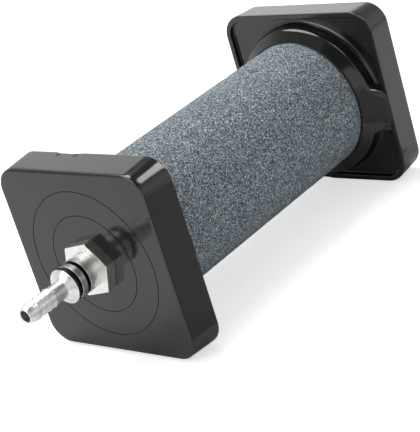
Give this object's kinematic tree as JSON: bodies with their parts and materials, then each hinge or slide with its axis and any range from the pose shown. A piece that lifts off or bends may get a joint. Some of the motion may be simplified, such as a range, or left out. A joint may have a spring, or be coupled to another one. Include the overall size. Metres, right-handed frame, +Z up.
{
  "type": "cylindrical air stone",
  "caption": "Porous cylindrical air stone between two square black end caps, with a barbed metal hose fitting, for bubbling air through a liquid.",
  "frame": {"origin": "under the middle of the whole, on the surface that the two caps stand on", "axes": "+Y runs along the stone's axis from the hose fitting to the rear cap, +Z is up, and +X follows by the right hand"},
  "size_m": [0.0672, 0.1706, 0.0673],
  "materials": {
    "cap_plastic": "satin",
    "porous_stone": "matte",
    "adhesive": "gloss",
    "plated_metal": "gloss",
    "washer_rubber": "matte",
    "nut_metal": "satin"
  },
  "bodies": {
    "root": {"front_cap": "cap_plastic", "rear_cap": "cap_plastic", "porous_stone": "porous_stone", "front_bond": "adhesive", "rear_bond": "adhesive", "hose_fitting": "plated_metal", "sealing_washer": "washer_rubber", "lock_nut": "nut_metal"}
  },
  "joints": []
}
